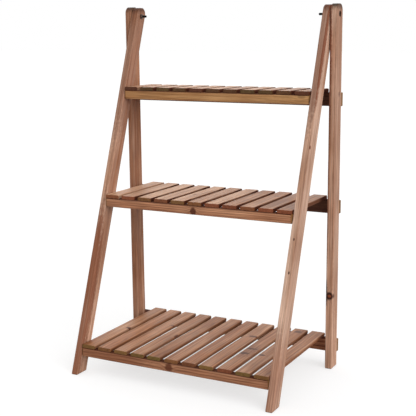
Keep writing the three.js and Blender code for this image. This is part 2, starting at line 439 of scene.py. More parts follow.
    def _depth(self, tree: bpy.types.NodeTree) -> Socket:
        """Finds the faces that get deeper stain and painted shade, such as a slat's sides in the
        gaps, most near its ends.

        Args:
            tree: The tree that the nodes go into.

        Returns:
            The share of deep stain and painted shade.
        """
        depth = add(tree, "ShaderNodeSeparateXYZ", {0: self._inside(tree)}).outputs
        place = add(tree, "ShaderNodeSeparateXYZ", {0: self._board(tree, "board_mm")}).outputs
        deep = add(tree, "ShaderNodeSeparateXYZ", {0: self._board(tree, "deep")}).outputs
        plus = sum_of(tree, "GREATER_THAN", place["Y"], 0.0)
        minus = sum_of(tree, "SUBTRACT", 1.0, plus)
        plus = sum_of(tree, "MULTIPLY", plus, deep["X"])
        minus = sum_of(tree, "MULTIPLY", minus, deep["Y"])
        on_side = self._falling(tree, depth["Y"], 0.7, 2.2)
        side = sum_of(tree, "ADD", plus, minus)
        ends = add(tree, "ShaderNodeSeparateXYZ", {0: self._board(tree, "from_ends_mm")})
        near = sum_of(tree, "MINIMUM", ends.outputs["X"], ends.outputs["Y"])
        # painted shade and pooled stain grow near the ends, where the gaps open over the rails
        shade_near_ends = sum_of(tree, "MULTIPLY", self._falling(tree, near, 12.0, 60.0), 0.5)
        side = sum_of(tree, "MULTIPLY", side, sum_of(tree, "ADD", shade_near_ends, 1.0))
        return sum_of(tree, "MULTIPLY", on_side, side)

    def _near_end(self, tree: bpy.types.NodeTree) -> tuple[Socket, Socket]:
        """Finds the ends, where the grain draws the stain in.

        Args:
            tree: The tree that the nodes go into.

        Returns:
            The share of the ends' colour, and how light they are.
        """
        away = add(tree, "ShaderNodeSeparateXYZ", {0: self._board(tree, "from_ends_mm")})
        ends = add(tree, "ShaderNodeSeparateXYZ", {0: self._board(tree, "ends")}).outputs
        ragged = self._spread(
            tree, self._noise(tree, (1 / 9, 1 / 2.5, 1 / 2.5), 3.0, "board_mm"), 0.35
        )
        near: object = 0.0
        for axis in ("X", "Y"):
            share = sum_of(tree, "DIVIDE", away.outputs[axis], ends[axis])
            share = sum_of(tree, "ADD", share, ragged)
            near = sum_of(tree, "MAXIMUM", near, self._falling(tree, share, 0.1, 1.0))
        return sum_of(tree, "MULTIPLY", near, 0.88), ends["Z"]


@dataclass(frozen=True)
class MarkSockets:
    """What the marks give to the rest of a wood's material."""

    share: Socket
    red: Socket
    bulge: Socket


@dataclass(frozen=True)
class TurnedSteel:
    """Steel that was headed or turned, and then plated or blackened.

    The tool leaves fine marks, and the coating evens them to a soft shine.
    """

    name: str
    colour: str
    bright: str
    roughness: float
    rim: str = "#FFFFFF"  # what it reflects at a glance, less for a thin dark oxide
    mark_size: float = 0.7  # tool marks and the grain of the coating

    def material(self) -> bpy.types.Material:
        """Makes the steel's material.

        Returns:
            The material.
        """
        made = bpy.data.materials.new(self.name)
        made.use_nodes = True
        tree = made.node_tree
        tree.nodes.clear()
        place = add(tree, "ShaderNodeTexCoord")
        noise = add(
            tree,
            "ShaderNodeTexNoise",
            {
                "Vector": place.outputs["Object"],
                "Scale": 1 / (self.mark_size * MM),
                "Detail": 3.0,
            },
        )
        colour = add(
            tree,
            "ShaderNodeMix",
            {0: noise.outputs[0], 6: linear(self.colour), 7: linear(self.bright)},
            data_type="RGBA",
        )
        rough = add(
            tree,
            "ShaderNodeMapRange",
            {
                "Value": noise.outputs[0],
                "To Min": self.roughness - 0.08,
                "To Max": self.roughness + 0.12,
            },
        )
        bump = add(
            tree,
            "ShaderNodeBump",
            {"Height": noise.outputs[0], "Strength": 0.25, "Distance": 0.05 * MM},
        )
        shader = add(
            tree,
            "ShaderNodeBsdfPrincipled",
            {
                "Base Color": colour.outputs[2],
                "Metallic": 1.0,
                "Specular Tint": linear(self.rim),
                "Roughness": rough.outputs[0],
                "Normal": bump.outputs[0],
            },
        )
        add(tree, "ShaderNodeOutputMaterial", {0: shader.outputs[0]})
        return made


# Leg boards: an even, warm reddish brown, with darker tops.
LEG_WOOD = StainedSoftwood(
    "Stained fir leg",
    heart_earlywood="#A86E4A",
    heart_latewood="#74432C",
    sap_earlywood="#CBA892",
    sap_latewood="#A6816D",
    end_red="#54402F",
    end_olive="#4A4232",
    edge_pale_and_highlight=0.25,
    ring_contrast=0.42,
)
# Slats: the same stain on paler sapwood, rubbed to a faint shine by pots and hands.
SLAT_WOOD = StainedSoftwood(
    "Stained fir slat",
    heart_earlywood="#AE7046",
    heart_latewood="#7A4527",
    sap_earlywood="#CCA283",
    sap_latewood="#A47A5F",
    ring_width=5.2,
    roughness=0.5,
    gloss=0.18,
    knot="#4E2212",  # redder, as the sheen greys a slat's knots
)
# Rails: redder, with strong streaks along them.
RAIL_WOOD = StainedSoftwood(
    "Stained fir rail",
    heart_earlywood="#A56A49",
    heart_latewood="#6A3923",
    sap_earlywood="#C2916F",
    sap_latewood="#94634A",
    ring_contrast=0.9,
)
# The top shelf's front rail took the stain more yellow than the rest.
OCHRE_RAIL_WOOD = StainedSoftwood(
    "Stained yellow pine rail",
    heart_earlywood="#B07C4C",
    heart_latewood="#84562D",
    sap_earlywood="#C59A69",
    sap_latewood="#9C7247",
    ring_width=3.8,
    ring_contrast=0.5,
)
# Black oxide on a headed bolt: nearly black, with a soft steely shine.
BLACK_OXIDE_STEEL = TurnedSteel("Black oxide steel", "#141312", "#242221", 0.5, "#3C3A38")
# The same on a nut and its washer, rubbed brighter by the spanner.
RUBBED_OXIDE_STEEL = TurnedSteel("Rubbed black oxide steel", "#5C4E46", "#8C7A70", 0.4)
# Zinc plate on turned steel: grey and a little blotched.
ZINC_PLATED_STEEL = TurnedSteel("Zinc plated steel", "#8B8C8B", "#A9AAA8", 0.34)


class Dyes:
    """The materials, each made once and shared."""

    def __init__(self) -> None:
        """Starts with nothing made."""
        self._made: dict[object, bpy.types.Material] = {}

    def wood(self, finish: StainedSoftwood, cut: Cut) -> bpy.types.Material:
        """Gives a wood's material for one way of cutting it."""
        return self._once((finish, cut), lambda: finish.material(cut))

    def steel(self, finish: TurnedSteel) -> bpy.types.Material:
        """Gives a steel's material."""
        return self._once(finish, finish.material)

    def _once(
        self, key: object, make: Callable[[], bpy.types.Material]
    ) -> bpy.types.Material:
        """Makes a material the first time it's asked for."""
        if key not in self._made:
            self._made[key] = make()
        return self._made[key]


DYES = Dyes()


# ---------------------------------------------------------------- meshes


def loft(name: str, rings: Sequence[Ring], closed: bool = False) -> bpy.types.Mesh:
    """Skins a row of rings that all have the same number of points.

    Args:
        name: The mesh's name.
        rings: Rings of points, in mm.
        closed: Whether the last ring joins the first, as in a washer, instead of
            both being capped.

    Returns:
        The mesh, in metres, with smooth faces that point outwards.
    """
    count = len(rings[0])
    points = [tuple(p * MM) for ring in rings for p in ring]
    faces: list[tuple[int, ...]] = []
    for i in range(len(rings) if closed else len(rings) - 1):
        low, high = i * count, ((i + 1) % len(rings)) * count
        for j in range(count):
            k = (j + 1) % count
            faces.append((low + j, low + k, high + k, high + j))
    if not closed:
        faces.append(tuple(reversed(range(count))))
        faces.append(tuple((len(rings) - 1) * count + j for j in range(count)))
    mesh = bpy.data.meshes.new(name)
    mesh.from_pydata(points, [], faces)
    mesh.validate()
    shade_outwards(mesh)
    return mesh


def shade_outwards(mesh: bpy.types.Mesh) -> None:
    """Turns a closed mesh's faces outwards, if they point in, and shades them smooth."""
    mesh.calc_loop_triangles()
    volume = 0.0
    for triangle in mesh.loop_triangles:
        a, b, c = (mesh.vertices[i].co for i in triangle.vertices)
        volume += a.dot(b.cross(c))
    if volume < 0:
        mesh.flip_normals()
    mesh.shade_smooth()


def place_piece(
    name: str, mesh: bpy.types.Mesh, node: str, body: str, slot: str
) -> bpy.types.Object:
    """Puts a mesh in the scene in place of a CAD node.

    Args:
        name: The piece's name.
        mesh: Its mesh, in the stand's frame.
        node: The CAD node that it stands for.
        body: The CAD body that it rides on.
        slot: The record's material slot; not used.

    Returns:
        The piece.
    """
    piece = bpy.data.objects.new(name, mesh)
    bpy.context.scene.collection.objects.link(piece)
    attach(piece, body)
    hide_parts(node)
    even = piece.modifiers.new("Even shading", "WEIGHTED_NORMAL")
    even.mode = "FACE_AREA"
    even.weight = 80
    check_place(piece, node)
    log.info("%s: %d faces, on %s", name, len(mesh.polygons), body)
    return piece


def check_place(piece: bpy.types.Object, node: str, room: float = 1.3) -> None:
    """Warns if a piece's box and its CAD node's box differ by more than the room, in mm."""
    low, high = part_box(node)
    points = [v.co for v in piece.data.vertices]
    for axis in range(3):
        values = [p[axis] for p in points]
        for mine, theirs in ((min(values), low[axis]), (max(values), high[axis])):
            if abs(mine - theirs) > room * MM:
                log.warning("%s is %.2f mm off its node", piece.name, (mine - theirs) / MM)


def drilled(mesh: bpy.types.Mesh, cutters: Iterable[bpy.types.Mesh]) -> bpy.types.Mesh:
    """Cuts holes in a mesh.

    Args:
        mesh: The mesh to cut.
        cutters: Closed meshes, each the shape of a hole.

    Returns:
        The cut mesh.
    """
    scene = bpy.context.scene.collection.objects
    blank = bpy.data.objects.new("blank", mesh)
    scene.link(blank)
    tools = []
    for cutter in cutters:
        tool = bpy.data.objects.new("drill", cutter)
        scene.link(tool)
        tools.append(tool)
        hole = blank.modifiers.new("Hole", "BOOLEAN")
        hole.operation = "DIFFERENCE"
        hole.solver = "EXACT"
        hole.object = tool
    graph = bpy.context.evaluated_depsgraph_get()
    cut = bpy.data.meshes.new_from_object(blank.evaluated_get(graph))
    cut.name = mesh.name
    for obj in (blank, *tools):
        bpy.data.objects.remove(obj)
    return cut


def circle(radius: float, along: float, centre: Vector, facets: int) -> Ring:
    """Gives a circle round an axis that runs along X.

    Args:
        radius: Its radius, in mm.
        along: Its place along X from the centre.
        centre: A point on the axis.
        facets: How many points it has.

    Returns:
        The points.
    """
    turns = (2 * math.pi * i / facets for i in range(facets))
    return [
        centre + Vector((along, radius * math.cos(t), radius * math.sin(t)))
        for t in turns
    ]


def drill(radius: float, start: float, end: float, centre: Vector) -> bpy.types.Mesh:
    """Gives a round cutter along X, with its start and end measured from the centre."""
    return loft("drill", [circle(radius, x, centre, 64) for x in (start, end)])


# ---------------------------------------------------------------- timber


@dataclass(frozen=True)
class Mark:
    """A knot, a patch of darker stain, or a patch of painted shade in a board's own frame.

    Attributes:
        place: Its centre along, across and through the board, in mm.
        size: Its reach along, across and through the board, in mm.
        dark: How dark it is, from 0 to 1.
        red: How red it is, from 0 to 1.
        bulge: How far it pushes the growth rings aside, in mm.
    """

    place: tuple[float, float, float]
    size: tuple[float, float, float]
    dark: float = 0.85
    red: float = 0.0
    bulge: float = 4.0


@dataclass(frozen=True)
class Tone:
    """How one board took the stain."""

    light: float = 1.0  # lighter or darker than the finish
    sap: float = 0.4  # share of pale sapwood, from 0 to 1
    olive: float = 0.5  # how green its ends are, from 0 to 1
    end_light: float = 1.0  # lighter or darker ends
    end_reach: tuple[float, float] = (4.0, 4.0)  # how far each end draws stain in, in mm
    deep: tuple[float, float] = (0.0, 0.0)  # deeper stain and painted shade on the two sides across


@dataclass
class Timber:
    """One board, with its own frame: along the grain, across the wider face, and through.

    Attributes:
        node: The CAD node that the board stands for.
        body: The CAD body that it rides on.
        slot: The record's material slot.
        axes: The board's frame in the stand's frame, in mm.
        size: Length, width and thickness, in mm.
        edge: Radius of the long edges.
        finish: The wood.
        tone: How the board took the stain.
        marks: Its knots, patches of darker stain and patches of painted shade.
    """

    node: str
    body: str
    slot: str
    axes: Matrix
    size: Vector
    edge: float
    finish: StainedSoftwood
    tone: Tone = field(default_factory=Tone)
    marks: tuple[Mark, ...] = ()
    wear: float = 0.3  # how much the edges' radius grows where they are worn most

    def rings(self) -> list[Ring]:
        """Gives the rings of points that the board is skinned from.

        Returns:
            The rings, in the board's frame.
        """
        raise NotImplementedError

    def holes(self) -> list[bpy.types.Mesh]:
        """Gives the shapes of the board's holes, in the stand's frame."""
        return []

    def make(self) -> bpy.types.Object:
        """Builds and dresses the board.

        Returns:
            The piece.
        """
        rings = [[self.axes @ p for p in ring] for ring in self.rings()]
        mesh = loft(self.node, rings)
        holes = self.holes()
        if holes:
            mesh = drilled(mesh, holes)
        self._dress(mesh)
        return place_piece(f"{self.node}_board", mesh, self.node, self.body, self.slot)

    def _dress(self, mesh: bpy.types.Mesh) -> None:
        """Gives the mesh its materials and the vectors that they read.

        Args:
            mesh: The board's mesh, in the stand's frame.
        """
        mesh.materials.clear()
        for cut in Cut:
            mesh.materials.append(DYES.wood(self.finish, cut))
        along = self.axes.to_3x3() @ Vector((1, 0, 0))
        for face in mesh.polygons:
            face.material_index = int(abs(face.normal.dot(along)) > 0.6)
        inverse = self.axes.inverted()
        places = [inverse @ (v.co / MM) for v in mesh.vertices]
        rng = random.Random(f"{SEED} {self.node}")
        in_log = self._sawn_from(rng)
        self._write(mesh, "board_mm", places)
        self._write(mesh, "log_mm", [in_log @ p for p in places])
        self._write(mesh, "half_mm", [self.size / 2] * len(places))
        self._write(mesh, "from_ends_mm", [self.from_ends(p) for p in places])
        tone = self.tone
        self._write(mesh, "tone", [Vector((tone.light, tone.sap, tone.olive))] * len(places))
        ends = Vector((*tone.end_reach, tone.end_light))
        self._write(mesh, "ends", [ends] * len(places))
        self._write(mesh, "deep", [Vector((*tone.deep, 0))] * len(places))
        nowhere = Mark((0, 1e5, 0), (1, 1, 1), dark=0, bulge=0)
        for i, mark in enumerate((*self.marks, *[nowhere] * MARKS)[:MARKS]):
            look = Vector((mark.red, mark.dark, mark.bulge))
            self._write(mesh, f"mark_{i}", [Vector(mark.place)] * len(places))
            self._write(mesh, f"mark_size_{i}", [Vector(mark.size)] * len(places))
            self._write(mesh, f"mark_look_{i}", [look] * len(places))

    def from_ends(self, place: Vector) -> Vector:
        """Gives a place's distances from the board's first and last end, in mm."""
        half = self.size.x / 2
        return Vector((half + place.x, half - place.x, 0))

    def _sawn_from(self, rng: random.Random) -> Matrix:
        """Chooses where in a log the board was sawn.

        Args:
            rng: The board's own random numbers.

        Returns:
            The board's frame in the log's frame, whose X axis is the pith.
        """
        turn = rng.uniform(-0.9, 0.9) + rng.choice((0, math.pi))
        away = rng.uniform(18, 75)
        lean_across, lean_through = rng.uniform(-0.012, 0.012), rng.uniform(-0.02, 0.02)
        lean = Matrix.Identity(4)
        lean[1][0], lean[2][0] = lean_across, lean_through
        shift = Matrix.Translation((rng.uniform(-4000, 4000), 0, away))
        return shift @ lean @ Matrix.Rotation(turn, 4, "X")

    def _write(self, mesh: bpy.types.Mesh, name: str, values: list[Vector]) -> None:
        """Writes one vector for each point of a mesh."""
        layer = mesh.attributes.new(name, "FLOAT_VECTOR", "POINT")
        layer.data.foreach_set("vector", [x for v in values for x in v])

    def _worn(self, rng: random.Random) -> float:
        """Gives an edge's radius where it's worn a little more or less."""
        return self.edge * (1 + self.wear * rng.random())


@dataclass
class Plank(Timber):
    """A straight board with square ends: a slat or a rail."""

    end_ease: float = 1.0
    step: float = 28.0  # between the places where the wear changes
    corner_facets: int = 4
    sawn_edges: tuple[int, ...] = ()  # long edges left sharp, numbered as _section goes
    sawn_radius: float = 0.2
    pin_holes: tuple[Vector, ...] = ()
    pin_radius: float = 3.3
    pin_depth: float = 17.0

    def rings(self) -> list[Ring]:
        """Gives rounded rectangles along the plank."""
        rng = random.Random(f"{SEED} edges {self.node}")
        half = self.size.x / 2
        quarter = [math.radians(a) for a in (0, 30, 60, 90)]
        ease = self.end_ease
        start = [
            (-half + ease * (1 - math.cos(a)), ease * (1 - math.sin(a))) for a in quarter
        ]
        count = max(2, round(self.size.x / self.step))
        inner = half - self.end_ease
        middle = [(-inner + 2 * inner * i / count, 0.0) for i in range(1, count)]
        end = [(-x, inset) for x, inset in reversed(start)]
        rings = []
        radii = self._radii(rng)
        for x, inset in (*start, *middle, *end):
            if inset == 0:
                radii = self._radii(rng)
            rings.append(self._section(x, inset, radii))
        return rings

    def _radii(self, rng: random.Random) -> list[float]:
        """Gives the radius of each long edge, worn or left as sawn."""
        return [
            self.sawn_radius if i in self.sawn_edges else self._worn(rng) for i in range(4)
        ]

    def _section(self, x: float, inset: float, radii: Sequence[float]) -> Ring:
        """Gives one rounded rectangle.

        Args:
            x: Its place along the plank.
            inset: How far it is drawn in.
            radii: The radius at each corner.

        Returns:
            Its points.
        """
        points = []
        half_y, half_z = self.size.y / 2 - inset, self.size.z / 2 - inset
        for i, (sy, sz) in enumerate(((1, 1), (-1, 1), (-1, -1), (1, -1))):
            radius = max(radii[i] - inset, 0.3)
            centre = Vector((x, sy * (half_y - radius), sz * (half_z - radius)))
            for j in range(self.corner_facets + 1):
                turn = (i + j / self.corner_facets) * math.pi / 2
                points.append(
                    centre + radius * Vector((0, math.cos(turn), math.sin(turn)))
                )
        return points

    def holes(self) -> list[bpy.types.Mesh]:
        """Gives the blind holes for the pins, one in each end."""
        cutters = []
        for mouth in self.pin_holes:
            inwards = -math.copysign(self.pin_depth, mouth.x)
            outwards = math.copysign(5.0, mouth.x)
            cutters.append(drill(self.pin_radius, inwards, outwards, mouth))
        return cutters


@dataclass
class Leg(Timber):
    """A leg, whose frame starts at the bolt: up the leg, to the back, and to the right."""

    above_bolt: float = 24.5  # its top, cut level, over the bolt
    bolt_height: float = 892.5
    lean: float = 0.0  # from upright, in radians
    top_radius: float = 15.0
    top_ease: float = 0.7  # how much rounder the long edges are at the top
    sole_ease: float = 0.8
    step: float = 30.0
    top_facets: int = 9
    bores: tuple[tuple[float, float, float, Vector], ...] = ()

    def rings(self) -> list[Ring]:
        """Gives the leg's side outline, drawn in at both sides to round the long edges."""
        half = self.size.z / 2
        quarter = [math.radians(a) for a in (0, 22.5, 45, 67.5, 90)]
        rounding = [
            (half - self.edge * (1 - math.cos(a)), self.edge * (1 - math.sin(a)))
            for a in quarter
        ]
        left = [self._outline(-x, inset, -1) for x, inset in rounding]
        right = [self._outline(x, inset, 1) for x, inset in reversed(rounding)]
        return left + right

    def _outline(self, through: float, inset: float, side: int) -> Ring:
        """Gives the outline of the leg's side, drawn in by some way.

        Args:
            through: Place across the leg's thickness.
            inset: How far the outline is drawn in.
            side: 1 for the right side and -1 for the left one, which wear apart.

        Returns:
            The points.
        """
        rng = random.Random(f"{SEED} outline {self.node} {side}")
        half, floor = self.size.y / 2, inset - self.bolt_height
        flat, ease = half - inset, self.sole_ease
        sine, cosine = math.sin(self.lean), math.cos(self.lean)
        toe, heel = self._level(-flat, floor), self._level(flat, floor)
        reach = half - self.top_radius
        shoulders = [
            self._level(y, self.above_bolt - self.top_radius) for y in (reach, -reach)
        ]
        points = [(heel + ease, flat)]
        points += self._flank(heel, shoulders[0], half, inset, rng)
        square = math.pi / 2 + self.lean
        for i in range(2 * self.top_facets + 1):
            turn = math.pi * i / (2 * self.top_facets)
            rounder = 1 + self.top_ease * min(1.0, 2 * math.sin(turn))
            radius = self.top_radius - inset * rounder
            corner = 0 if turn <= square else 1
            points.append(
                (
                    shoulders[corner] + radius * math.sin(turn),
                    (reach, -reach)[corner] + radius * math.cos(turn),
                )
            )
        points += reversed(self._flank(toe, shoulders[1], -half, -inset, rng))
        points.append((toe + ease, -flat))
        points.append((toe + ease * sine, -flat + ease * cosine))
        points.append((heel - ease * sine, flat - ease * cosine))
        return [Vector((along, across, through)) for along, across in points]

    def _level(self, across: float, height: float) -> float:
        """Gives the place along the leg, at some place across it, of a height over the bolt."""
        return (across * math.sin(self.lean) + height) / math.cos(self.lean)

    def _flank(
        self, low: float, high: float, half: float, inset: float, rng: random.Random
    ) -> list[tuple[float, float]]:
        """Gives points up one long edge, drawn in a little more where it's worn.

        Args:
            low: Where it starts along the leg.
            high: Where it ends.
            half: The leg's face, across it.
            inset: How far the edge is drawn in.
            rng: The edge's own random numbers.

        Returns:
            Places along and across the leg.
        """
        count = round((self.above_bolt + self.bolt_height) / self.step)
        steps = (low + (high - low) * i / count for i in range(1, count))
        return [(at, half - inset * (1 + self.wear * rng.random())) for at in steps]

    def from_ends(self, place: Vector) -> Vector:
        """Gives a place's distances from the leg's sole and from its top, in mm."""
        cosine = math.cos(self.lean)
        sole = self._level(place.y, -self.bolt_height)
        top = self._level(place.y, self.above_bolt)
        return Vector((place.x - sole, top - place.x, 0)) * cosine

    def holes(self) -> list[bpy.types.Mesh]:
        """Gives the leg's bores."""
        return [drill(*bore) for bore in self.bores]


# ---------------------------------------------------------------- steel


@dataclass
class SteelPiece:
    """A turned or headed piece of steel on an axis that runs along X.

    Attributes:
        node: The CAD node that it stands for.
        body: The CAD body that it rides on.
        slot: The record's material slot.
        centre: The piece's place on its axis, in mm.
        side: 1 at the right and -1 at the left, where the piece is turned round.
        finish: The steel.
    """

    node: str
    body: str
    slot: str
    centre: Vector
    side: int
    finish: TurnedSteel

    def rings(self) -> list[Ring]:
        """Gives the rings of points, with X out from the stand's middle."""
        raise NotImplementedError

    def hollow(self) -> bool:
        """Says whether the rings close on themselves."""
        return False

    def make(self) -> bpy.types.Object:
        """Builds and dresses the piece.

        Returns:
            The piece.
        """
        turned = Matrix.Translation(self.centre)
        if self.side < 0:
            turned = turned @ Matrix.Rotation(math.pi, 4, "Z")
        rings = [[turned @ p for p in ring] for ring in self.rings()]
        mesh = loft(self.node, rings, self.hollow())
        mesh.materials.append(DYES.steel(self.finish))
        return place_piece(f"{self.node}_steel", mesh, self.node, self.body, self.slot)


def hexagon(width: float, turn: float) -> float:
    """Gives a hexagon's reach from its centre.

    Args:
        width: Its size across the flats.
        turn: The direction, in radians from a corner.

    Returns:
        The distance from the centre to its side that way.
    """
    within = (turn % (math.pi / 3)) - math.pi / 6
    return width / 2 / math.cos(within)


@dataclass
class Bolt(SteelPiece):
    """A machine bolt with a low domed head, a hexagon socket and a threaded end."""

    length: float = 50.0
    diameter: float = 6.0
    pitch: float = 1.0
    thread_depth: float = 0.55
    threaded: float = 24.0
    head_diameter: float = 11.6
    head_height: float = 3.6
    dome: float = 1.1
    socket_width: float = 4.0
    socket_depth: float = 2.2
    facets: int = 48

    def rings(self) -> list[Ring]:
        """Gives the bolt from its tip to the bottom of its socket."""
        rings = self._thread()
        radius, head = self.diameter / 2, self.head_diameter / 2
        steps = [(-0.35, radius), (-0.1, radius + 0.08), (0.0, radius + 0.35)]
        steps += [(0.0, head - 0.25), (0.12, head - 0.05), (0.3, head)]
        rim = self.head_height - self.dome
        for i in range(9):
            turn = i / 8 * math.pi / 2
            along = rim + self.dome * math.sin(turn)
            steps.append((along, head - self.dome * (1 - math.cos(turn))))
        flat = head - self.dome
        steps.append((self.head_height, (flat + self.socket_width / 2) / 2 + 0.4))
        rings += [self._ring(x, lambda _t, r=r: r) for x, r in steps]
        socket = self.socket_width
        for x, grow in (
            (self.head_height, 0.5),
            (self.head_height - 0.25, 0.0),
            (self.head_height - self.socket_depth, 0.0),
            (self.head_height - self.socket_depth - 0.3, -1.2),
        ):
            rings.append(self._ring(x, lambda t, g=grow: hexagon(socket + g, t)))
        return rings

    def _ring(self, x: float, radius: Callable[[float], float]) -> Ring:
        """Gives a ring whose radius depends on the direction."""
        points = []
        for i in range(self.facets):
            turn = 2 * math.pi * i / self.facets
            r = radius(turn)
            points.append(Vector((x, r * math.cos(turn), r * math.sin(turn))))
        return points

    def _thread(self) -> list[Ring]:
        """Gives the helical thread and the plain shank above it."""
        crest = self.diameter / 2
        steps = 8
        rings = []
        count = round(self.threaded / self.pitch * steps)
        for i in range(count + 1):
            x = -self.length + i * self.pitch / steps
            from_tip = i * self.pitch / steps
            runout = min(1.0, (self.threaded - from_tip) / (2 * self.pitch))

            def radius(turn: float, x: float = x, t: float = from_tip, k: float = runout) -> float:
                phase = (x / self.pitch - turn / (2 * math.pi)) % 1.0
                groove = 1 - abs(2 * phase - 1)
                r = crest - self.thread_depth * min(1.0, 1.25 * groove) * k
                # The tip is turned to a chamfer.
                return min(r, crest - 0.75 + t)

            rings.append(self._ring(x, radius))
        return rings


@dataclass
class Nut(SteelPiece):
    """A hexagon nut, with the corners of both faces turned down."""

    width: float = 10.0
    height: float = 5.0
    bore: float = 3.05
    facets: int = 96

    def hollow(self) -> bool:
        """Says that the nut has a bore."""
        return True

    def rings(self) -> list[Ring]:
        """Gives the nut's skin, from the bore out and round."""
        half = self.height / 2
        face = self.width / 2 * 0.96
        outer = []
        for i in range(7):
            drop = i / 6 * 0.85
            outer.append((half - drop, face + drop * 1.75))
        side = [(x, r) for x, r in reversed([(-x, r) for x, r in outer])]
        profile = [(half - 0.4, self.bore), (half, self.bore + 0.4), *outer]
        profile += [*side, (-half, self.bore + 0.4), (-half + 0.4, self.bore)]
        return [self._ring(x, r) for x, r in profile]

    def _ring(self, x: float, reach: float) -> Ring:
        """Gives a ring at some reach, cut off by the nut's flats."""
        points = []
        for i in range(self.facets):
            turn = 2 * math.pi * i / self.facets
            r = min(reach, hexagon(self.width, turn))
            points.append(Vector((x, r * math.cos(turn), r * math.sin(turn))))
        return points


@dataclass
class Washer(SteelPiece):
    """A flat stamped washer with one face's rim rolled over."""

    diameter: float = 14.0
    thickness: float = 1.2
    bore: float = 3.4
    facets: int = 64

    def hollow(self) -> bool:
        """Says that the washer has a bore."""
        return True

    def rings(self) -> list[Ring]:
        """Gives the washer's skin, from the bore out and round."""
        half, rim = self.thickness / 2, self.diameter / 2
        ease = self.thickness * 0.3
        profile = [
            (half, self.bore + ease),
            (half, rim - ease),
            (half - 0.3 * ease, rim - 0.3 * ease),
            (half - ease, rim),
            (-half + 0.3 * ease, rim),
            (-half, rim - 0.3 * ease),
            (-half, self.bore + 0.3 * ease),
            (-half + 0.3 * ease, self.bore),
            (half - ease, self.bore),
            (half - 0.3 * ease, self.bore + 0.3 * ease),
        ]
        return [circle(r, x, Vector(), self.facets) for x, r in profile]


# ---------------------------------------------------------------- the stand


SIDES = {"left": -1, "right": 1}


def joint_place(name: str) -> Vector:
    """Gives the place of a joint of the frame, in mm."""
    joint = next(j for j in frame["joints"] if j["name"] == name)
    return Vector(joint["pos_m"]) / MM


def leg_axes(axis: Vector, lean: float) -> Matrix:
    """Gives a leg's own frame.

    Args:
        axis: Where the bolt crosses the middle of the leg, in mm.
        lean: How far the leg leans back, in radians.

    Returns:
        The frame: up the leg, to the back and to the right.
    """
    sine, cosine = math.sin(lean), math.cos(lean)
    return Matrix(
        (
            (0, 0, 1, axis.x),
            (sine, cosine, 0, axis.y),
            (cosine, -sine, 0, axis.z),
            (0, 0, 0, 1),
        )
    )


def box_axes(node: str, order: str) -> tuple[Matrix, Vector]:
    """Gives a straight board's own frame, from the box of its CAD node.

    Args:
        node: The CAD node.
        order: The stand's axes along, across and through the board, such as "YXZ".

    Returns:
        The frame and the board's size, in mm.
    """
    low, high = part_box(node)
    size = (high - low) / MM
    picked = ["XYZ".index(letter) for letter in order]
    axes = Matrix.Identity(4)
    for column, axis in enumerate(picked):
        for row in range(3):
            axes[row][column] = float(row == axis)
    axes.translation = (high + low) / 2 / MM
    return axes, Vector(size[axis] for axis in picked)


